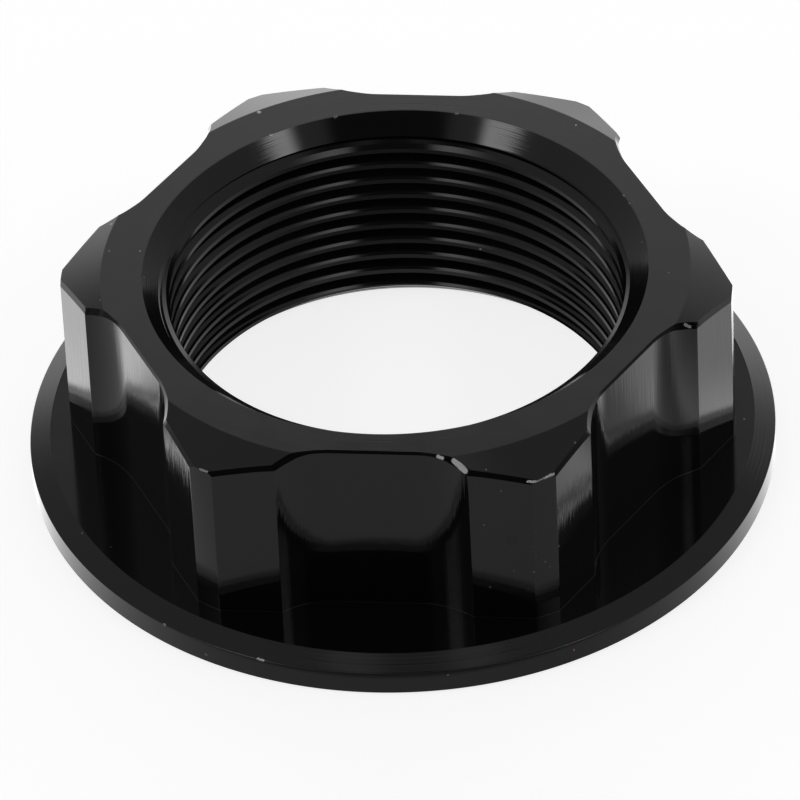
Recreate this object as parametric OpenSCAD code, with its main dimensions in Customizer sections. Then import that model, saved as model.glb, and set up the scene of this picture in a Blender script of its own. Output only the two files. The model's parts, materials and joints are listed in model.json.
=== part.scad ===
// Flanged steering head nut, turned and milled from one bar of aluminium.
// Millimetres. The flange rests on Z = 0 and the bore runs along +Z.

/* [Thread] */
// Nominal diameter of the internal thread, an M24 fine thread
thread_d = 24; // [23:0.25:24.5]
// Pitch of the internal thread
thread_pitch = 1; // [0.75:0.25:1.5]

/* [Body] */
// Overall height, from the seat to the top face
nut_h = 11.6; // [8:0.1:16]
// Distance across the flats of the hexagon
hex_af = 30; // [29:0.1:31]
// Turned diameter that cuts the corners of the hexagon
corner_d = 33.9; // [32.5:0.1:34.5]

/* [Flange] */
// Outer diameter of the flange
flange_d = 38; // [37:0.1:44]
// Height of the upright edge of the flange
rim_h = 1.32; // [0.6:0.02:1.5]
// Radial width of the turned bevel round the top of the flange
bevel_w = 1.05; // [0.4:0.05:1.4]
// Height of the inner edge of the bevel above the seat
bevel_z = 1.77; // [1.6:0.01:3]
// How far the milled floor lies below the inner edge of the bevel
floor_step = 0.05; // [0.02:0.01:0.2]
// Width of the edge break on the edges of the flange
rim_break = 0.1; // [0.04:0.02:0.3]

/* [Pockets] */
// Width of the pocket in each flat, measured where it opens
pocket_w = 9.56; // [8:0.02:11]
// Depth of the pocket floor below the flat
pocket_depth = 0.9; // [0.4:0.05:1.1]
// Radius of the curves that lead out of the two ends of the pocket
pocket_r = 4.5; // [3:0.1:8]
// Height of the edge break at the top of the pocket
pocket_break = 0.15; // [0.05:0.01:0.25]

/* [Top] */
// Diameter at which the turned cone on the lobes starts
cone_d = 29.7; // [29:0.1:31]
// Slope of the turned cone below the top face, in degrees
cone_angle = 23; // [12:1:35]
// Height of the edge break along the flats
edge_break = 0.22; // [0.1:0.01:0.3]

/* [Bore] */
// Diameter of the entry chamfer at the top face
entry_d = 25.5; // [24.5:0.1:27]
// Diameter at which the entry chamfer ends
relief_d = 23.56; // [23.4:0.02:24.4]
// Width of the 45 degree chamfer at the lower end of the bore
exit_chamfer = 1; // [0.3:0.1:1.4]

/* [Hidden] */
// Angle between a thread flank and a plane square to the axis
flank_angle = 30;
// Angle between an edge break and the upright wall below it
break_angle = 30;
// Depth of a 60 degree internal thread, as a share of its pitch
thread_depth = 5 / 8 * cos(flank_angle);
// Smallest diameter of the thread, which the plain bore follows
bore_d = thread_d - 2 * thread_depth * thread_pitch;
floor_z = bevel_z - floor_step;
bevel_r = flange_d / 2 - bevel_w;
floor_v = hex_af / 2 - pocket_depth;
// Half the straight part of the pocket floor
floor_u = pocket_w / 2 - sqrt(pocket_r * pocket_r - pow(pocket_r - pocket_depth, 2));
// Where a flat ends at the turned corner
hex_u = hex_af / 2 * tan(30);
corner_u = min(hex_u, sqrt(max(1, pow(corner_d / 2, 2) - pow(hex_af / 2, 2))));
entry_depth = (entry_d - relief_d) / 2;
relief_depth = (relief_d - bore_d) / 2 * tan(flank_angle);
bore_top = nut_h - entry_depth - relief_depth;
over = 1;
$fn = 128;

// Height of the turned top at a radius
function top_z(r) = nut_h - max(0, r - cone_d / 2) * tan(cone_angle);

// Turned blank of the lobes, with the cone round the top face
module turned_lobes() {
    corner_r = corner_d / 2;
    rotate_extrude()
        polygon([
            [0, 0],
            [corner_r, 0],
            [corner_r, top_z(corner_r)],
            [cone_d / 2, nut_h],
            [0, nut_h]
        ]);
}

// Hexagon that the flats are milled to, with a flat facing +Y
module hexagon() {
    cylinder(h = nut_h + over, r = hex_af / 2 / cos(30), $fn = 6);
}

// Flange with its upright edge, the turned bevel and the milled floor
module flange() {
    flange_r = flange_d / 2;
    rotate_extrude()
        polygon([
            [0, 0],
            [flange_r - rim_break, 0],
            [flange_r, rim_break],
            [flange_r, rim_h - rim_break / 2],
            [flange_r - rim_break / 2, rim_h],
            [bevel_r, bevel_z],
            [bevel_r, floor_z],
            [0, floor_z]
        ]);
}

// Cutter for one pocket, lying along +Y, with the edge break at its top
module pocket() {
    centre_v = floor_v + pocket_r;
    break_z = nut_h - pocket_break;
    rise = pocket_break + over;
    grow = rise * tan(break_angle);
    for (side = [-1, 1]) {
        translate([side * floor_u, centre_v, -over])
            cylinder(h = break_z + 2 * over, r = pocket_r);
        translate([side * floor_u, centre_v, break_z])
            cylinder(h = rise, r1 = pocket_r, r2 = pocket_r + grow);
    }
    translate([floor_u, 0, 0])
        rotate([0, -90, 0])
        linear_extrude(2 * floor_u)
        polygon([
            [-over, floor_v],
            [-over, centre_v + pocket_r],
            [break_z + rise, centre_v + pocket_r],
            [break_z + rise, floor_v - grow],
            [break_z, floor_v]
        ]);
}

// Cutter for the edge break along what is left of one flat beside a pocket
module flat_break() {
    start_u = pocket_w / 2;
    start_z = top_z(norm([start_u, hex_af / 2]));
    end_z = top_z(norm([corner_u, hex_af / 2]));
    fall = atan2(start_z - end_z, corner_u - start_u);
    translate([start_u, hex_af / 2, start_z - edge_break])
        rotate([0, fall, 0])
        rotate([break_angle - 90, 0, 0])
        translate([-over, -2 * over, 0])
        cube([hex_u, 4 * over, 2 * over]);
}

// Bore at the smallest diameter of the thread, with its chamfers
module bore() {
    bore_r = bore_d / 2;
    rotate_extrude()
        polygon([
            [0, -over],
            [bore_r + exit_chamfer + over, -over],
            [bore_r, exit_chamfer],
            [bore_r, bore_top],
            [relief_d / 2, nut_h - entry_depth],
            [entry_d / 2 + over, nut_h + over],
            [0, nut_h + over]
        ]);
}

// Six lobes, left where the pockets are milled into the flats
module lobes() {
    difference() {
        intersection() {
            turned_lobes();
            hexagon();
        }
        for (k = [0:5])
            rotate([0, 0, 60 * k]) {
                pocket();
                flat_break();
                mirror([1, 0, 0])
                    flat_break();
            }
    }
}

module nut() {
    color([0.035, 0.034, 0.038])
    difference() {
        union() {
            lobes();
            flange();
        }
        bore();
    }
}

nut();
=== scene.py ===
import json
import math

import bmesh
import bpy
import numpy as np
from mathutils import Matrix, Vector
from mathutils.bvhtree import BVHTree

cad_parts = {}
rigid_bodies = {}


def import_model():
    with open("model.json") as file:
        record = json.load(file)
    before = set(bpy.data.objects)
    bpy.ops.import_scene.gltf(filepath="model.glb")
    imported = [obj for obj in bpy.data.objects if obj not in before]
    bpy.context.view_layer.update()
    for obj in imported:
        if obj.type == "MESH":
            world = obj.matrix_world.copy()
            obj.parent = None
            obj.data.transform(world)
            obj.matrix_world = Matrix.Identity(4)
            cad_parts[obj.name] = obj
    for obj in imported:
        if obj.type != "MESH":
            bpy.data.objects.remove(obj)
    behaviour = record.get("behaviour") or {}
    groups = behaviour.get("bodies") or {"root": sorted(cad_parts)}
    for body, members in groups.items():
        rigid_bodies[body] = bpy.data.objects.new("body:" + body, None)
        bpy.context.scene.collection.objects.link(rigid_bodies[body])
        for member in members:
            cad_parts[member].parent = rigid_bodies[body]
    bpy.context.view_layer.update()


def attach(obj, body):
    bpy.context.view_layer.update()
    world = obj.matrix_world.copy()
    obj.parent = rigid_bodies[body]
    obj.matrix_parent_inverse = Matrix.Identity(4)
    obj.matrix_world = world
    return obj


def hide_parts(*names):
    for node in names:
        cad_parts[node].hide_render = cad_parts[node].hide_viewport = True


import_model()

# Lengths are in millimetres until a mesh is made
MM = 0.001
# Lengths that differ by less are the same
SAME = 1e-6

# Sizes of the nut, the same as in the part's source. Names that end in V and U are distances from
# the axis square to a flat and along it, those in R are radii, and those in H and Z are heights
NUT_H = 11.6
FLAT_V = 15.0
CORNER_R = 16.95
FLANGE_R = 19.0
RIM_H = 1.32
RIM_BREAK = 0.1
BEVEL_R = 17.95
BEVEL_Z = 1.77
FLOOR_Z = 1.72
POCKET_U = 4.78
POCKET_DEPTH = 0.9
POCKET_R = 4.5
CONE_R = 14.85
CONE_SLOPE = math.tan(math.radians(23))
# Height of the edge break over the pocket and on the flats
POCKET_BREAK = 0.15
FLAT_BREAK = 0.22
BREAK_LEAN = math.tan(math.radians(30))
ENTRY_R = 12.75
RELIEF_R = 11.78
CREST_R = 11.45875
ROOT_R = 12.0
PITCH = 1.0
EXIT_CHAMFER = 1.0
FLANK_SLOPE = math.tan(math.radians(30))
RELIEF_Z = NUT_H - (ENTRY_R - RELIEF_R)

# Height of the edge break where a pocket runs out into a flat, and the u at which it starts to
# grow towards that height, with the length over which it grows
RUNOUT_BREAK = 0.29
RUNOUT_START = 2.9
RUNOUT_LENGTH = 1.2
# Length over which it comes down to FLAT_BREAK again along the flat
RUNOUT_FADE = 0.6

# Small roundings that the cutters leave
EDGE_ROUND = 0.04
FOOT_ROUND = 0.02
RIM_ROUND = 0.022
# Width of the flat faces beside a rounding, which keep its shading to itself
GUARD = 0.03

# Radius of the plain bore before the thread is cut
CORE_R = 11.1
# Height of the groove above the seat where it passes azimuth 0
GROOVE_START = 0.2132
# Half the height of a thread crest, and the slope of the bevel above it
CREST_HALF = 0.12
CREST_SLOPE = math.tan(math.radians(37))
# Depth of that bevel, which grows to its depth on the first crest below the top face
CREST_BEVEL = 0.09
FIRST_BEVEL = 0.18
FIRST_CREST_Z = 9.8
FIRST_CREST_FADE = 0.2

# Azimuth of the photograph's line of sight over the ground, and the two directions it gives
SIGHT = math.radians(96.41)
BACK = (math.cos(SIGHT), math.sin(SIGHT), 0)
ACROSS = (math.sin(SIGHT), -math.cos(SIGHT), 0)

# Half the side of the table, and how far it lies below the seat, in metres
FLOOR_REACH = 1.5
FLOOR_GAP = 0.00002

# Numbers of steps round curves
RING_STEPS = 360
POCKET_STEPS = 24
FLAT_STEPS = 12
CORNER_STEPS = 3
FOOT_STEPS = 5
BREAK_STEPS = 3
LOBE_STEPS = 4
SCREW_STEPS = 216
SCREW_TURNS = 15

# Distances in metres below which points of the mesh are made one, and edges are dropped
MERGE_SHELL = 1e-8
MERGE_CUT = 3e-7
SHORT_EDGE = 1e-7

# Kinds of surface, numbered in the order of their materials
WALL, FLOOR, TURNED, ENTRY, THREAD, LEDGE, BREAK_EDGE, RIM_EDGE, BAND = range(9)

# Marks of use and painted highlights, as the photograph shows them: the surfaces a mark lies on,
# the pixel of its place or of its two ends, its radius in millimetres and its strength
# Bare metal where the coating is rubbed off; some bright spots on edges are painted lamp highlights
WEAR_AND_GLINTS = [
    ((BREAK_EDGE,), [(438, 456.5), (442.5, 458)], 0.10, 1.0),
    ((BREAK_EDGE,), [(455, 461), (464.5, 470.5)], 0.19, 1.0),
    ((BREAK_EDGE, TURNED, WALL), [(528, 481.5), (536, 481.5)], 0.07, 0.9),
    ((TURNED, WALL), [(536, 481.5), (545, 478)], 0.05, 0.6),
    ((BREAK_EDGE, TURNED, WALL), [(545, 478), (553.5, 474)], 0.07, 0.9),
    ((BREAK_EDGE, TURNED), [(685, 324.5), (690, 327)], 0.08, 0.5),
    ((BREAK_EDGE, TURNED, WALL), [(200, 469.5), (207, 472)], 0.06, 0.5),
    ((RIM_EDGE, TURNED, BAND), [(258, 659), (263, 660.5)], 0.07, 0.8),
    ((RIM_EDGE, TURNED, BAND), [(164, 624.5), (165, 625)], 0.07, 0.4),
    ((ENTRY, TURNED), [(335, 117), (336.5, 116.5)], 0.08, 0.2),
    ((ENTRY, TURNED), [(456, 113.5), (457.5, 113.5)], 0.07, 0.2),
    ((ENTRY, TURNED), [(272, 135), (270.5, 135)], 0.07, 0.4),
    ((ENTRY, TURNED), [(623, 195), (624, 196)], 0.05, 0.2),
    ((ENTRY, TURNED), [(629, 203), (629.5, 203.5)], 0.04, 0.2),
]
DUST = [
    ((TURNED,), [(259, 112)], 0.12, 1.0),
    ((TURNED,), [(111, 224)], 0.09, 0.5),
    ((TURNED,), [(109, 251)], 0.07, 0.3),
    ((TURNED,), [(140, 251)], 0.06, 0.5),
    ((ENTRY,), [(144, 277)], 0.06, 0.2),
    ((TURNED,), [(100, 300)], 0.06, 0.2),
    ((TURNED,), [(576, 125)], 0.06, 0.9),
    ((THREAD,), [(480.5, 249)], 0.07, 1.0),
    ((ENTRY,), [(642, 242)], 0.06, 0.2),
    ((TURNED,), [(668.5, 272.5)], 0.06, 0.2),
    ((WALL,), [(559, 508)], 0.06, 0.5),
    ((WALL,), [(501, 491)], 0.06, 0.2),
    ((WALL,), [(490, 587)], 0.07, 0.2),
    ((TURNED,), [(575, 442.5)], 0.06, 0.3),
    ((TURNED,), [(206, 654.5)], 0.08, 0.4),
    ((TURNED,), [(448, 675)], 0.06, 0.4),
    ((FLOOR,), [(744, 419)], 0.05, 0.6),
    ((FLOOR,), [(111, 547)], 0.06, 0.1),
    ((BAND,), [(82, 533)], 0.07, 0.2),
    ((TURNED,), [(486, 469.5)], 0.05, 0.3),
]
RUST = [
    ((WALL,), [(484, 525)], 0.06, 0.5),
    ((WALL,), [(535, 532)], 0.05, 0.4),
    ((WALL,), [(533, 547)], 0.05, 0.2),
    ((TURNED, WALL), [(536, 556.5)], 0.05, 0.3),
    ((TURNED, WALL), [(545, 562)], 0.06, 0.5),
    ((TURNED, WALL), [(550, 567)], 0.06, 0.3),
    ((WALL,), [(514, 571)], 0.05, 0.3),
    ((WALL,), [(534, 572)], 0.06, 0.6),
    ((WALL,), [(559, 546)], 0.08, 0.6),
    ((TURNED,), [(574, 650)], 0.07, 1.0),
]
SMUDGE = [
    ((WALL,), [(511, 540)], 0.40, 0.6),
]


def top_z(r):
    """Height of the turned top at a radius."""
    return NUT_H - max(0.0, r - CONE_R) * CONE_SLOPE


def pocket_break(u):
    """Height of the edge break over the pocket, which grows towards the flat."""
    t = min(1.0, max(0.0, (abs(u) - RUNOUT_START) / RUNOUT_LENGTH))
    return POCKET_BREAK + (RUNOUT_BREAK - POCKET_BREAK) * t * t * (3 - 2 * t)


def direction(angle):
    """The direction at an angle from v towards u."""
    return np.array([math.sin(angle), math.cos(angle)])


def half_outline():
    """Half of one milled side, from the middle of its pocket to the middle of the turned corner.

    Each entry is (u, v) on the wall, (u, v) on the upper edge of the edge break, the outward
    direction, how far the edge break lowers the wall, and whether it lies on the turned corner."""
    floor_v = FLAT_V - POCKET_DEPTH
    arc_width = math.sqrt(POCKET_R**2 - (POCKET_R - POCKET_DEPTH) ** 2)
    centre = np.array([POCKET_U - arc_width, floor_v + POCKET_R])
    corner_angle = math.asin((POCKET_U - centre[0]) / POCKET_R)
    line = FLAT_V - FLAT_BREAK * BREAK_LEAN
    straight = np.array([0.0, 1.0])
    out = []

    def arc_point(angle, radius=POCKET_R):
        return centre - radius * direction(-angle)

    def over_arc(angle):
        """The upper edge of the break above a point of the arc, and the height of the break."""
        drop = pocket_break(arc_point(angle)[0])
        u, v = arc_point(angle, POCKET_R + drop * BREAK_LEAN)
        return np.array([u, min(v, line)]), drop

    ahead = EDGE_ROUND * math.tan(corner_angle / 2)
    last = corner_angle - ahead / POCKET_R
    mitre = np.array([over_arc(corner_angle)[0][0], line])
    # Where the upper edge of the break crosses the start of the cone
    low, high = 0.0, last
    for _ in range(40):
        middle = (low + high) / 2
        before = np.hypot(*over_arc(middle)[0]) < CONE_R
        low, high = (middle, high) if before else (low, middle)

    u, drop = centre[0] - GUARD, pocket_break(0.0)
    top = np.array([u, floor_v - drop * BREAK_LEAN])
    out.append((np.array([u, floor_v]), top, straight, drop, False))
    for a in sorted([last * i / POCKET_STEPS for i in range(POCKET_STEPS)] + [low]):
        top, drop = over_arc(a)
        out.append((arc_point(a), top, direction(-a), drop, False))

    def rounded(corner, first, second):
        """Points and directions round a corner of the wall."""
        n1, n2 = direction(first), direction(second)
        inner = corner - EDGE_ROUND * (n1 + n2) / (1 + n1 @ n2)
        for i in range(CORNER_STEPS + 1):
            n = direction(first + (second - first) * i / CORNER_STEPS)
            yield inner + EDGE_ROUND * n, n

    corner_drop = 0.5 * (RUNOUT_BREAK + FLAT_BREAK)
    for place, n in rounded(np.array([POCKET_U, FLAT_V]), -corner_angle, 0.0):
        out.append((place, mitre, n, corner_drop, False))
    corner_u = math.sqrt(CORNER_R**2 - FLAT_V**2)
    turn = math.atan2(corner_u, FLAT_V)
    start = POCKET_U + ahead
    end = corner_u - EDGE_ROUND * math.tan(turn / 2)
    between = [start + (end - start) * i / FLAT_STEPS for i in range(1, FLAT_STEPS)]
    for u in [start + GUARD] + between + [end - GUARD]:
        fade = max(0.0, 1 - (u - start) / RUNOUT_FADE)
        drop = FLAT_BREAK + (corner_drop - FLAT_BREAK) * fade
        top = np.array([max(u, mitre[0]), line])
        out.append((np.array([u, FLAT_V]), top, straight, drop, False))
    for place, n in rounded(np.array([corner_u, FLAT_V]), 0.0, turn):
        top = np.array([place[0], line])
        out.append((place, top, n, max(0.0, place[1] - line) / BREAK_LEAN, False))
    first = turn + EDGE_ROUND * math.tan(turn / 2) / CORNER_R
    # Where the edge break along the flat runs out on the turned corner
    meet = math.acos(line / CORNER_R)
    middle = math.radians(30)
    angles = [first + (meet - first) * i / BREAK_STEPS for i in range(1, BREAK_STEPS + 1)]
    angles += [meet + (middle - meet) * i / LOBE_STEPS for i in range(1, LOBE_STEPS + 1)]
    for a in angles:
        n = direction(a)
        place = CORNER_R * n
        past = place[1] - line
        top = np.array([place[0], line]) if past > SAME else place
        out.append((place, top, n, max(0.0, past) / BREAK_LEAN, True))
    return out


def outline():
    """The whole milled outline, counterclockwise, with the entries that half_outline gives."""
    half = half_outline()
    rows = []
    for k in range(6):
        a = math.radians(60 * k)
        along = np.array([math.cos(a), math.sin(a)])
        outward = np.array([-math.sin(a), math.cos(a)])
        # Both sides share the middle of the turned corner, which is the last entry
        for side, part in ((1, half[:-1]), (-1, half)):
            for wall, top, n, drop, turned in part:
                places = [side * p[0] * along + p[1] * outward for p in (wall, top, n)]
                rows.append((*places, drop, turned))
    rows.sort(key=lambda row: math.atan2(row[0][1], row[0][0]) % (2 * math.pi))
    return rows


class Shell:
    """Points and faces of one closed mesh, with the surface that each face belongs to."""

    def __init__(self):
        self.points = []
        self.faces = []
        self.kinds = []

    def ring(self, places):
        start = len(self.points)
        self.points.extend(tuple(float(c) for c in p) for p in places)
        return list(range(start, len(self.points)))

    def circle(self, r, z):
        angles = [2 * math.pi * i / RING_STEPS for i in range(RING_STEPS)]
        return self.ring([(r * math.cos(a), r * math.sin(a), z) for a in angles])

    def face(self, ids, kind):
        kept = [v for i, v in enumerate(ids) if self.points[v] != self.points[ids[i - 1]]]
        if len(kept) > 2:
            self.faces.append(kept)
            self.kinds.append(kind)

    def strip(self, a, b, kind):
        for i in range(len(a)):
            j = (i + 1) % len(a)
            self.face([a[i], a[j], b[j], b[i]], kind[i] if isinstance(kind, list) else kind)

    def zip(self, a, b, kind):
        """Joins two rings that have different numbers of points, in order of azimuth."""
        def azimuth(v):
            return math.atan2(self.points[v][1], self.points[v][0]) % (2 * math.pi)

        def ordered(ring):
            keyed = sorted((azimuth(v), v) for v in ring)
            keyed.append((keyed[0][0] + 2 * math.pi, keyed[0][1]))
            return zip(*keyed)

        angle_a, ids_a = ordered(a)
        angle_b, ids_b = ordered(b)
        i = j = 0
        while i < len(a) or j < len(b):
            if j == len(b) or (i < len(a) and angle_a[i + 1] <= angle_b[j + 1]):
                self.face([ids_a[i], ids_a[i + 1], ids_b[j]], kind)
                i += 1
            else:
                self.face([ids_a[i], ids_b[j + 1], ids_b[j]], kind)
                j += 1

    def mesh(self, name, materials):
        data = bpy.data.meshes.new(name)
        data.from_pydata([tuple(c * MM for c in p) for p in self.points], [], self.faces)
        for m in materials:
            data.materials.append(m)
        data.polygons.foreach_set("material_index", self.kinds)
        b = bmesh.new()
        b.from_mesh(data)
        bmesh.ops.remove_doubles(b, verts=b.verts, dist=MERGE_SHELL)
        bmesh.ops.recalc_face_normals(b, faces=b.faces)
        b.to_mesh(data)
        b.free()
        return data


def body_shell():
    """The nut with a plain bore that is a little narrower than the thread."""
    s = Shell()
    rows = outline()
    count = len(rows)

    def lift(places, heights):
        return [(p[0], p[1], z) for p, z in zip(places, heights)]

    walls = [r[0] for r in rows]
    tops = [r[1] for r in rows]
    wall_z = [top_z(np.hypot(*r[0])) - r[3] for r in rows]
    tops_z = [top_z(np.hypot(*p)) for p in tops]
    reach = [np.hypot(*p) for p in tops]
    starts = [p if r <= CONE_R + SAME else p * CONE_R / r for p, r in zip(tops, reach)]
    after = rows[1:] + rows[:1]
    walls_kind = [TURNED if row[4] and other[4] else WALL for row, other in zip(rows, after)]

    entry = s.circle(ENTRY_R, NUT_H)
    cone_start = s.ring(lift(starts, [NUT_H] * count))
    top_edge = s.ring(lift(tops, tops_z))
    wall_top = s.ring(lift(walls, wall_z))
    s.zip(entry, cone_start, TURNED)
    s.strip(cone_start, top_edge, TURNED)
    s.strip(top_edge, wall_top, BREAK_EDGE)
    ring = s.ring(lift(walls, [FLOOR_Z + FOOT_ROUND + GUARD] * count))
    s.strip(wall_top, ring, walls_kind)
    for i in range(FOOT_STEPS + 1):
        a = math.pi / 2 * i / FOOT_STEPS
        grow = FOOT_ROUND * (1 - math.cos(a))
        height = FLOOR_Z + FOOT_ROUND * (1 - math.sin(a))
        low = s.ring(lift([r[0] + grow * r[2] for r in rows], [height] * count))
        s.strip(ring, low, FLOOR)
        ring = low
    guard = s.ring(lift([r[0] + (FOOT_ROUND + GUARD) * r[2] for r in rows], [FLOOR_Z] * count))
    s.strip(ring, guard, FLOOR)
    previous = s.circle(BEVEL_R, FLOOR_Z)
    s.zip(guard, previous, FLOOR)
    # Radius, height and kind of each turned strip, from the flange's floor to the entry chamfer
    profile = [
        (BEVEL_R, BEVEL_Z, RIM_EDGE),
        (FLANGE_R - RIM_ROUND, RIM_H, BAND),
        (FLANGE_R, RIM_H - RIM_ROUND, RIM_EDGE),
        (FLANGE_R, RIM_BREAK, TURNED),
        (FLANGE_R - RIM_BREAK, 0.0, RIM_EDGE),
        (CREST_R + EXIT_CHAMFER, 0.0, TURNED),
        (CORE_R, CREST_R + EXIT_CHAMFER - CORE_R, TURNED),
        (CORE_R, RELIEF_Z - (RELIEF_R - CORE_R) * FLANK_SLOPE, THREAD),
        (RELIEF_R, RELIEF_Z, LEDGE),
    ]
    for r, z, kind in profile:
        now = s.circle(r, z)
        s.strip(previous, now, kind)
        previous = now
    s.strip(previous, entry, ENTRY)
    return s


def groove_profile(bevel):
    """(radius, height from the middle of the groove) over one pitch, from crest to crest."""
    mouth = 0.5 * PITCH - CREST_HALF
    depth = ROOT_R - CREST_R
    bevel_end = -mouth + bevel / CREST_SLOPE
    return [
        (CREST_R, -0.5 * PITCH),
        (CREST_R, -mouth),
        (CREST_R + bevel, bevel_end),
        (ROOT_R, bevel_end + (depth - bevel) * FLANK_SLOPE),
        (ROOT_R, mouth - depth * FLANK_SLOPE),
        (CREST_R, mouth),
    ]


def screw_shell():
    """A screw with the thread's own form, longer than the nut, which cuts the bore."""
    s = Shell()
    count = len(groove_profile(CREST_BEVEL))
    total = SCREW_TURNS * SCREW_STEPS
    first = GROOVE_START - 2 * PITCH
    index = {}
    for i in range(total + SCREW_STEPS + 1):
        a = 2 * math.pi * i / SCREW_STEPS
        rise = first + PITCH * i / SCREW_STEPS
        grown = min(1.0, max(0.0, (rise - FIRST_CREST_Z) / FIRST_CREST_FADE))
        profile = groove_profile(CREST_BEVEL + (FIRST_BEVEL - CREST_BEVEL) * grown)
        for j, (r, z) in enumerate(profile if i <= total else profile[:1]):
            index[i, j] = len(s.points)
            s.points.append((r * math.cos(a), r * math.sin(a), rise + z))
    for i in range(total + 1):
        index[i, count] = index[i + SCREW_STEPS, 0]
    for i in range(total):
        for j in range(count):
            s.face([index[i, j], index[i + 1, j], index[i + 1, j + 1], index[i, j + 1]], THREAD)
    for start, z in ((0, first), (total, first + SCREW_TURNS * PITCH)):
        centre = len(s.points)
        s.points.append((0.0, 0.0, z + 0.5 * PITCH))
        edge = [index[start + i, 0] for i in range(SCREW_STEPS + 1)]
        edge += [index[start, j] for j in range(count - 1, -1, -1)]
        for a, b in zip(edge, edge[1:]):
            s.face([a, b, centre], THREAD)
    return s


# Angles above which an edge is sharp, between two kinds of surface and within one kind
SHARP_BETWEEN = math.radians(8)
SHARP_WITHIN = math.radians(21)


def mark_sharp(data):
    """Keeps corners crisp and curved surfaces smooth."""
    b = bmesh.new()
    b.from_mesh(data)
    bmesh.ops.remove_doubles(b, verts=b.verts, dist=MERGE_CUT)
    bmesh.ops.dissolve_degenerate(b, edges=b.edges, dist=SHORT_EDGE)
    for f in b.faces:
        f.smooth = True
    for e in b.edges:
        if len(e.link_faces) != 2:
            e.smooth = False
            continue
        one, two = e.link_faces
        angle = e.calc_face_angle(0.0)
        pair = {one.material_index, two.material_index}
        apart = len(pair) == 2 and (THREAD in pair or angle > SHARP_BETWEEN)
        e.smooth = not (angle > SHARP_WITHIN or apart)
    b.to_mesh(data)
    b.free()


# The photograph's camera: slope of the sight line, roll, focal length in pixels, and the place
# of the origin in the camera's own frame, right, up and ahead
CAMERA_SLOPE = math.radians(40.394)
CAMERA_ROLL = math.radians(2.777)
CAMERA_FOCUS = 9223.657
CAMERA_ORIGIN = (0.179, -2.23, 471.074)
PICTURE = 800
SENSOR = 36


def camera_matrix():
    """Place and directions of the photograph's camera, a long lens about half a metre away."""
    slope, roll = CAMERA_SLOPE, CAMERA_ROLL
    across = Vector((1, 0, 0))
    rise = Vector((0, math.sin(slope), math.cos(slope)))
    ahead = Vector((0, math.cos(slope), -math.sin(slope)))
    right = math.cos(roll) * across - math.sin(roll) * rise
    up = math.sin(roll) * across + math.cos(roll) * rise
    place = -(CAMERA_ORIGIN[0] * right + CAMERA_ORIGIN[1] * up + CAMERA_ORIGIN[2] * ahead) * MM
    matrix = Matrix((right, up, -ahead)).transposed().to_4x4()
    matrix.translation = place
    return Matrix.Rotation(SIGHT - math.pi / 2, 4, "Z") @ matrix


def place_camera():
    """Adds the photograph's camera."""
    data = bpy.data.cameras.new("camera")
    data.sensor_width = SENSOR
    data.lens = CAMERA_FOCUS / PICTURE * SENSOR
    data.clip_start = 0.01
    data.clip_end = 20
    camera = bpy.data.objects.new("camera", data)
    bpy.context.scene.collection.objects.link(camera)
    camera.matrix_world = camera_matrix()
    bpy.context.scene.camera = camera


def sight_on(data):
    """Returns a function that gives the place, in millimetres, where the sight line through a
    pixel of the photograph first meets a mesh."""
    corners = [v.co for v in data.vertices]
    tree = BVHTree.FromPolygons(corners, [tuple(p.vertices) for p in data.polygons])
    matrix = camera_matrix()

    def find(pixel):
        ray = Vector((pixel[0] - PICTURE / 2, PICTURE / 2 - pixel[1], -CAMERA_FOCUS))
        hit = tree.ray_cast(matrix.translation, (matrix.to_3x3() @ ray).normalized())[0]
        return hit / MM

    return find


# Where a mark starts to fade and where it ends, as shares of its radius
MARK_FULL = 0.7
MARK_END = 1.1


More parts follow.
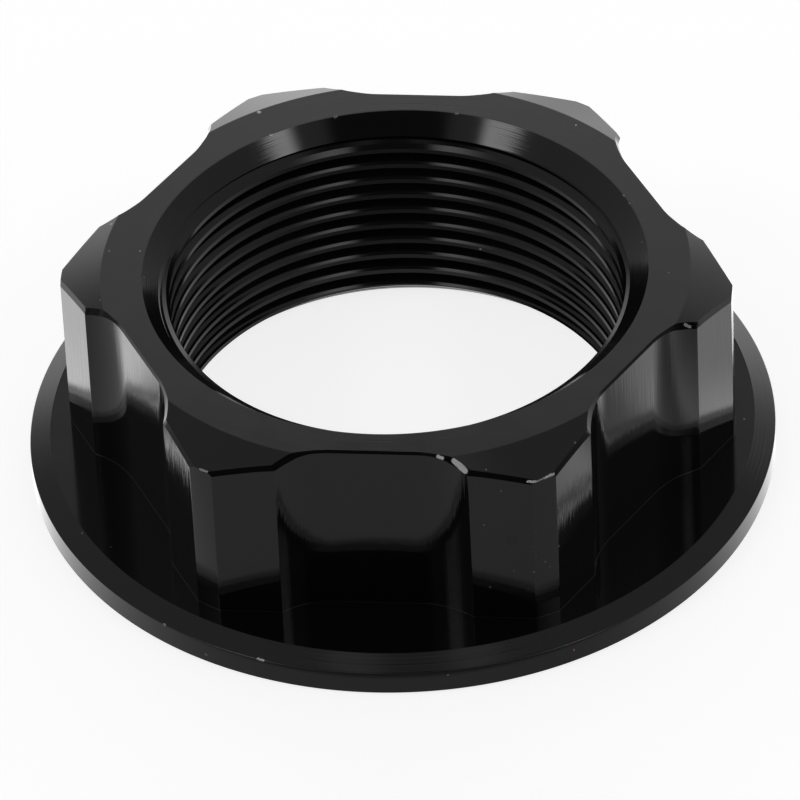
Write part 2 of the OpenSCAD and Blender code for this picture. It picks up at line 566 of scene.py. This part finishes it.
class Graph:
    """Short calls that add nodes to one node tree."""

    def __init__(self, owner):
        owner.use_nodes = True
        self.tree = owner.node_tree
        self.tree.nodes.clear()

    def node(self, kind, inputs=None, **settings):
        n = self.tree.nodes.new(kind)
        for key, value in settings.items():
            setattr(n, key, value)
        for key, value in (inputs or {}).items():
            if isinstance(value, bpy.types.NodeSocket):
                self.tree.links.new(value, n.inputs[key])
            else:
                n.inputs[key].default_value = value
        return n

    def math(self, operation, *values):
        return self.node("ShaderNodeMath", dict(enumerate(values)), operation=operation).outputs[0]

    def product(self, first, *others):
        for value in others:
            first = self.math("MULTIPLY", first, value)
        return first

    def vector(self, operation, *values):
        n = self.node("ShaderNodeVectorMath", dict(enumerate(values)), operation=operation)
        return n.outputs["Value" if operation in ("DOT_PRODUCT", "LENGTH", "DISTANCE") else "Vector"]

    def ramp(self, value, low, high, start=0.0, end=1.0):
        """Goes smoothly from start to end as value goes from low to high."""
        if low > high:
            low, high, start, end = high, low, end, start
        inputs = {0: value, 1: low, 2: high, 3: start, 4: end}
        return self.node("ShaderNodeMapRange", inputs, interpolation_type="SMOOTHSTEP").outputs[0]

    def noise(self, scale, detail, vector=None, w=None, dimensions="3D"):
        inputs = {"Scale": scale, "Detail": detail}
        n = self.node("ShaderNodeTexNoise", inputs, noise_dimensions=dimensions)
        if vector is not None:
            self.tree.links.new(vector, n.inputs["Vector"])
        if w is not None:
            self.tree.links.new(w, n.inputs["W"])
        return n.outputs["Fac"]

    def place(self):
        """Object coordinates in millimetres."""
        return self.scaled(self.node("ShaderNodeTexCoord").outputs["Object"], 1 / MM)

    def scaled(self, vector, factor):
        inputs = {0: vector, "Scale": factor}
        return self.node("ShaderNodeVectorMath", inputs, operation="SCALE").outputs["Vector"]

    def spots(self, place, marks, ragged):
        """How strongly a place is covered by a list of marks, from 0 to 1."""
        total = None
        for start, end, radius, strength in marks:
            near = start
            along = end - start
            if along.length > 0:
                past = self.vector("SUBTRACT", place, near)
                share = self.vector("DOT_PRODUCT", past, along / along.length_squared)
                share = self.node("ShaderNodeClamp", {0: share}).outputs[0]
                near = self.vector("ADD", self.scaled(along, share), near)
            away = self.math("ADD", self.vector("DISTANCE", place, near), ragged)
            cover = self.ramp(away, radius * MARK_FULL, radius * MARK_END, strength, 0.0)
            total = cover if total is None else self.math("MAXIMUM", total, cover)
        return total

    def mix(self, amount, first, second):
        """A colour between two colours."""
        return self.node("ShaderNodeMix", {0: amount, 6: first, 7: second}, data_type="RGBA").outputs[2]

    def mix_number(self, amount, first, second):
        """A number between two numbers."""
        inputs = {0: amount, 2: first, 3: second}
        return self.node("ShaderNodeMix", inputs, data_type="FLOAT").outputs[0]

    def along_sight(self, vector):
        """The parts of a vector towards the back and towards the right of the picture."""
        return self.vector("DOT_PRODUCT", vector, BACK), self.vector("DOT_PRODUCT", vector, ACROSS)

    def finish(self, shader, kind="ShaderNodeOutputMaterial"):
        self.node(kind, {"Surface": shader})


# Colours of the coating, of bare metal and painted highlights, of dust and of the rust-red specks
ANODISED = (0.0055, 0.0047, 0.0058, 1)
BARE_AND_GLINT = (0.85, 0.85, 0.87, 1)
PALE = (0.6, 0.57, 0.54, 1)
RUSTY = (0.55, 0.16, 0.17, 1)
# How far the roughness varies from patch to patch, and what a smudge adds to it
ROUGH_SPREAD = 0.08
SMUDGE_ROUGH = 0.35
# Scale of the patches, in features for each millimetre, and the part of the depth the least has
PATCH_SCALE = 0.5
PATCH_LEAST = 0.5
# Scale and width of the ragged edge of a spot of wear and of a painted highlight
RAGGED_SCALE = 14.0
RAGGED_WIDTH = 0.12
# How much longer the marks on a milled wall are upwards
WALL_STRETCH = (1.0, 1.0, 0.03)


def marks_on(kind, marks, find):
    """The marks on one kind of surface, each with the places of its two ends on the nut."""
    here = [m[1:] for m in marks if kind in m[0]]
    return [(find(pixels[0]), find(pixels[-1]), *size) for pixels, *size in here]


def anodised(m, kind, find, rough, marks, lines=0.0, scale=8.0, anisotropic=0.0, gloss=0.5):
    """Black anodised aluminium. marks is the depth of the tool marks in millimetres, and find
    gives the place of a pixel on the nut.

    The marks of a turned surface keep their radius and height, and those of a milled wall run
    upwards. lines is how fast a turned mark changes with height, against radius."""
    g = Graph(m)
    place = g.place()
    x, y, z = g.node("ShaderNodeSeparateXYZ", {0: place}).outputs
    if lines:
        radius = g.math("SQRT", g.math("ADD", g.product(x, x), g.product(y, y)))
        fine = g.noise(scale, 3.0, w=g.math("MULTIPLY_ADD", z, lines, radius), dimensions="1D")
    else:
        fine = g.noise(scale, 3.0, vector=g.vector("MULTIPLY", place, WALL_STRETCH))
    patch = g.noise(PATCH_SCALE, 2.0, vector=place)
    height = g.product(fine, g.ramp(patch, 0.3, 0.7, PATCH_LEAST, 1.0))
    bump = g.node("ShaderNodeBump", {"Strength": 1.0, "Distance": marks * MM, "Height": height})
    colour = ANODISED
    roughness = g.ramp(patch, 0.2, 0.8, rough * (1 - ROUGH_SPREAD), rough * (1 + ROUGH_SPREAD))
    ragged = g.noise(RAGGED_SCALE, 2.0, vector=place)
    ragged = g.math("MULTIPLY_ADD", ragged, RAGGED_WIDTH, -RAGGED_WIDTH / 2)
    # Bare metal and painted highlights, mixed into the coating's colour
    worn_and_glints = marks_on(kind, WEAR_AND_GLINTS, find)
    if worn_and_glints:
        colour = g.mix(g.spots(place, worn_and_glints, ragged), colour, BARE_AND_GLINT)
    for specks, tone in ((DUST, PALE), (RUST, RUSTY)):
        here = marks_on(kind, specks, find)
        if here:
            colour = g.mix(g.spots(place, here, 0.0), colour, tone)
    here = marks_on(kind, SMUDGE, find)
    if here:
        smudged = g.spots(place, here, ragged)
        roughness = g.math("MULTIPLY_ADD", smudged, SMUDGE_ROUGH, roughness)
    inputs = {
        "Base Color": colour,
        "Roughness": roughness,
        "IOR": 1.5,
        "Specular IOR Level": gloss,
        "Normal": bump.outputs[0],
        "Anisotropic": anisotropic,
    }
    shader = g.node("ShaderNodeBsdfPrincipled", inputs)
    if anisotropic:
        tangent = g.node("ShaderNodeTangent", direction_type="RADIAL", axis="Z")
        g.tree.links.new(tangent.outputs[0], shader.inputs["Tangent"])
    g.finish(shader.outputs[0])


# What reflections see of the studio. Each tuple is a ramp over one part of a unit ray: back,
# side (across without its sign), up, or bearing, which is back over the ray's length on the ground
SURROUND = 0.315
# The screen behind the nut: its sides, its bright foot, its bright top and the dim part between,
# and how far it is turned to the right above the foot
SCREEN_SIDES = (0.74, 0.92)
SCREEN_FOOT = (0.45, 0.28, 0.0, 0.62)
SCREEN_TOP = (0.645, 0.61, 0.0, 1.05)
SCREEN_DIM = (0.6, 0.48, 0.0, 0.47)
SCREEN_TURN = (0.1, 0.4, 0.0, 0.05)
# The dark camera, the dark ground in front, and the share of light that is left there
CAMERA_SIDE, CAMERA_BACK, CAMERA_UP = (0.40, 0.28), (0.08, -0.12), (0.1, 0.3)
FRONT_BEARING, FRONT_UP = (-0.2, -0.45), (0.42, 0.26)
DARK_SHARE = 0.13
# Two lamps in front, whose inner edges lean towards each other
LAMP_LEAN, LAMP_INNER = -0.53, 0.906
LAMP_SOFT = (-0.03, 0.03)
LAMP_SHIFT, LAMP_OUTER = 0.02, (0.69, 0.63)
LAMP_FOOT, LAMP_TOP = (0.64, 0.69), (0.79, 0.75)
LAMP_BACK = (-0.1, -0.16)
LAMP_STRENGTH = 4.0
# The softer light below each lamp, as a share of the lamp's strength
BELOW_INNER, BELOW_OUTER = (0.24, 0.32), (0.68, 0.36)
BELOW_FOOT, BELOW_TOP = (0.4, 0.46), (0.6, 0.55)
BELOW_SHARE = 0.36
# Two small soft lights overhead
ABOVE_SIDE, ABOVE_WIDTH = 0.13, (0.08, 0.03)
ABOVE_UP = (0.97, 0.99)
ABOVE_STRENGTH = 0.22


def studio_world():
    """A white surround for the camera. Reflections see a bright screen behind the nut, two soft
    lamps in front of it, and the dark camera between these."""
    world = bpy.data.worlds.new("studio")
    g = Graph(world)
    ray = g.node("ShaderNodeTexCoord").outputs["Generated"]
    back, across = g.along_sight(ray)
    side = g.math("ABSOLUTE", across)
    up = g.vector("DOT_PRODUCT", ray, (0, 0, 1))
    ground = g.math("SQRT", g.math("ADD", g.product(back, back), g.product(side, side)))
    bearing = g.math("MULTIPLY_ADD", across, g.ramp(up, *SCREEN_TURN), back)
    bearing = g.math("DIVIDE", bearing, g.math("MAXIMUM", ground, 0.001))

    glow = g.math("ADD", g.ramp(up, *SCREEN_FOOT), g.ramp(up, *SCREEN_TOP))
    glow = g.math("SUBTRACT", glow, g.ramp(up, *SCREEN_DIM))
    light = g.math("ADD", SURROUND, g.product(g.ramp(bearing, *SCREEN_SIDES), glow))

    camera = g.product(g.ramp(side, *CAMERA_SIDE), g.ramp(back, *CAMERA_BACK), g.ramp(up, *CAMERA_UP))
    front = g.product(g.ramp(bearing, *FRONT_BEARING), g.ramp(up, *FRONT_UP))
    dark = g.math("MAXIMUM", camera, front)
    light = g.product(light, g.ramp(dark, 0.0, 1.0, 1.0, DARK_SHARE))

    inner = g.math("SUBTRACT", side, g.math("MULTIPLY_ADD", up, LAMP_LEAN, LAMP_INNER))
    outer = g.math("ABSOLUTE", g.math("ADD", across, LAMP_SHIFT))
    lamp = g.product(g.ramp(inner, *LAMP_SOFT), g.ramp(outer, *LAMP_OUTER))
    lamp = g.product(lamp, g.ramp(up, *LAMP_FOOT), g.ramp(up, *LAMP_TOP))
    below = g.product(g.ramp(side, *BELOW_INNER), g.ramp(side, *BELOW_OUTER))
    below = g.product(below, g.ramp(up, *BELOW_FOOT), g.ramp(up, *BELOW_TOP))
    lamp = g.math("MULTIPLY_ADD", below, BELOW_SHARE, lamp)
    lamp = g.product(lamp, g.ramp(back, *LAMP_BACK))
    light = g.math("MULTIPLY_ADD", lamp, LAMP_STRENGTH, light)

    above = g.math("ABSOLUTE", g.math("SUBTRACT", side, ABOVE_SIDE))
    above = g.product(g.ramp(above, *ABOVE_WIDTH), g.ramp(up, *ABOVE_UP))
    light = g.math("MULTIPLY_ADD", above, ABOVE_STRENGTH, light)

    to_camera = g.node("ShaderNodeLightPath").outputs["Is Camera Ray"]
    strength = g.mix_number(to_camera, light, 1.0)
    shader = g.node("ShaderNodeBackground", {"Color": (1, 1, 1, 1), "Strength": strength})
    g.finish(shader.outputs[0], "ShaderNodeOutputWorld")
    bpy.context.scene.world = world


# The table as reflections see it. Each tuple is a ramp over a place on it in millimetres: back,
# across, or radius from the axis
TABLE_BACK, TABLE_POWER = (-20.0, -2.5), 1.5
TABLE_GAIN, TABLE_BASE = 1.58, 0.27
# It falls off to the right in front of the nut, and far away on every side
RIGHT_ACROSS, RIGHT_BACK = (2.0, 8.0, 0.0, 0.13), (10.0, 0.0)
FAR_RIGHT, FAR_LEFT = (19.0, 25.0, 1.0, 0.58), (-25.0, -20.0, 0.88, 1.0)
FAR_FRONT, FAR_BACK = (-70.0, -35.0), (10.0, 60.0, 1.0, 0.78)
# It is darker beside the nut's flange, from the middle towards the front
BESIDE_RADIUS, BESIDE_TURN = (20.0, 20.9), 0.15
BESIDE_BACK, BESIDE_FRONT = (2.2, -4.0), (-10.5, -7.5)
BESIDE_SHARE = 0.18
# The narrow shadow round the flange
SHADOW_START, SHADOW_END = (20.1, 20.3), (21.1, 20.6)
SHADOW_SHARE = 0.2
# What the bore shows of it, and where that goes over into the rest, under the flange
# Inside the bore it is dim, a painted shade of the nut
IN_BORE = (5.0, 11.5, 0.08, 0.42)
UNDER_FLANGE = (13.0, 17.0)
# Light that the camera sees it give, and how pale it is; far in front reflections see a painted shade
TABLE_CAMERA = 0.82
TABLE_TONE, FRONT_SHADE_TONE = 0.42, 0.05
FRONT_BACK = (-35.0, -70.0)


def floor_material():
    """A pale table. It keeps the nut's shadow, and it is brighter towards the lit screen."""
    m = bpy.data.materials.new("table_white")
    g = Graph(m)
    place = g.place()
    path = g.node("ShaderNodeLightPath")
    glossy = path.outputs["Is Glossy Ray"]
    back, across = g.along_sight(place)
    radius = g.vector("LENGTH", place)

    rise = g.math("POWER", g.ramp(back, *TABLE_BACK), TABLE_POWER)
    seen = g.math("MULTIPLY_ADD", rise, TABLE_GAIN, TABLE_BASE)
    right = g.product(g.ramp(across, *RIGHT_ACROSS), g.ramp(back, *RIGHT_BACK))
    seen = g.product(seen, g.math("SUBTRACT", 1.0, right))
    seen = g.product(seen, g.ramp(across, *FAR_RIGHT), g.ramp(across, *FAR_LEFT))
    seen = g.product(seen, g.ramp(back, *FAR_FRONT), g.ramp(back, *FAR_BACK))

    turned = g.math("MULTIPLY_ADD", across, BESIDE_TURN, back)
    beside = g.product(g.ramp(radius, *BESIDE_RADIUS), g.ramp(turned, *BESIDE_BACK))
    beside = g.product(beside, g.ramp(back, *BESIDE_FRONT))
    seen = g.product(seen, g.ramp(beside, 0.0, 1.0, 1.0, BESIDE_SHARE))
    shadow = g.product(g.ramp(radius, *SHADOW_START), g.ramp(radius, *SHADOW_END))
    seen = g.product(seen, g.ramp(shadow, 0.0, 1.0, 1.0, SHADOW_SHARE))
    seen = g.mix_number(g.ramp(radius, *UNDER_FLANGE), g.ramp(radius, *IN_BORE), seen)

    strength = g.product(path.outputs["Is Camera Ray"], TABLE_CAMERA)
    strength = g.math("MULTIPLY_ADD", glossy, seen, strength)
    glow = g.node("ShaderNodeEmission", {"Color": (1, 1, 1, 1), "Strength": strength})
    # Reflections far in front see the table's colour darker: painted shade
    front_painted_shade = g.product(glossy, g.ramp(back, *FRONT_BACK))
    tone = g.ramp(front_painted_shade, 0.0, 1.0, TABLE_TONE, FRONT_SHADE_TONE)
    grey = g.node("ShaderNodeCombineColor", {0: tone, 1: tone, 2: tone}).outputs[0]
    matte = g.node("ShaderNodeBsdfDiffuse", {"Color": grey})
    both = g.node("ShaderNodeAddShader", {0: glow.outputs[0], 1: matte.outputs[0]})
    g.finish(both.outputs[0])
    return m


# The finish of each kind of surface, in the order of the kinds
FINISHES = {
    "wall": dict(rough=0.07, marks=0.007),
    "floor": dict(rough=0.09, marks=0.0006, scale=5.0),
    "turned": dict(rough=0.14, marks=0.0015, lines=0.9, anisotropic=0.5),
    "entry": dict(rough=0.10, marks=0.003, lines=0.9),
    "thread": dict(rough=0.12, marks=0.0005, lines=0.9),
    "ledge": dict(rough=0.16, marks=0.0005, lines=0.9, gloss=0.3),
    "break": dict(rough=0.12, marks=0.001, gloss=0.25),
    "rim": dict(rough=0.2, marks=0.0005),
    "band": dict(rough=0.11, marks=0.006, lines=0.9, scale=16.0),
}

place_camera()
materials = [bpy.data.materials.new("anodised_" + name) for name in FINISHES]

blank = bpy.data.objects.new("nut_blank", body_shell().mesh("nut_blank", materials))
screw = bpy.data.objects.new("nut_screw", screw_shell().mesh("nut_screw", materials))
for o in (blank, screw):
    bpy.context.scene.collection.objects.link(o)
cut = blank.modifiers.new("thread", "BOOLEAN")
cut.operation = "DIFFERENCE"
cut.object = screw
cut.solver = "MANIFOLD"
bpy.context.view_layer.update()
data = bpy.data.meshes.new_from_object(blank.evaluated_get(bpy.context.evaluated_depsgraph_get()))
bpy.data.objects.remove(screw)
bpy.data.objects.remove(blank)
data.name = "nut_body"
mark_sharp(data)
# The marks of use and the painted highlights are placed on the finished mesh
find_place = sight_on(data)
for kind, finish in enumerate(FINISHES.values()):
    anodised(materials[kind], kind, find_place, **finish)
nut = bpy.data.objects.new("nut_body", data)
bpy.context.scene.collection.objects.link(nut)
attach(nut, "root")
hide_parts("nut")

floor_mesh = bpy.data.meshes.new("floor")
corners = [(x * FLOOR_REACH, y * FLOOR_REACH, 0) for x, y in ((-1, -1), (1, -1), (1, 1), (-1, 1))]
floor_mesh.from_pydata(corners, [], [(0, 1, 2, 3)])
floor = bpy.data.objects.new("floor", floor_mesh)
floor.location.z = -FLOOR_GAP
bpy.context.scene.collection.objects.link(floor)
floor_mesh.materials.append(floor_material())
studio_world()
bpy.context.scene.view_settings.view_transform = "Standard"

triangles = sum(len(p.vertices) - 2 for p in data.polygons)
print("nut_body:", len(data.vertices), "points and", triangles, "triangles")
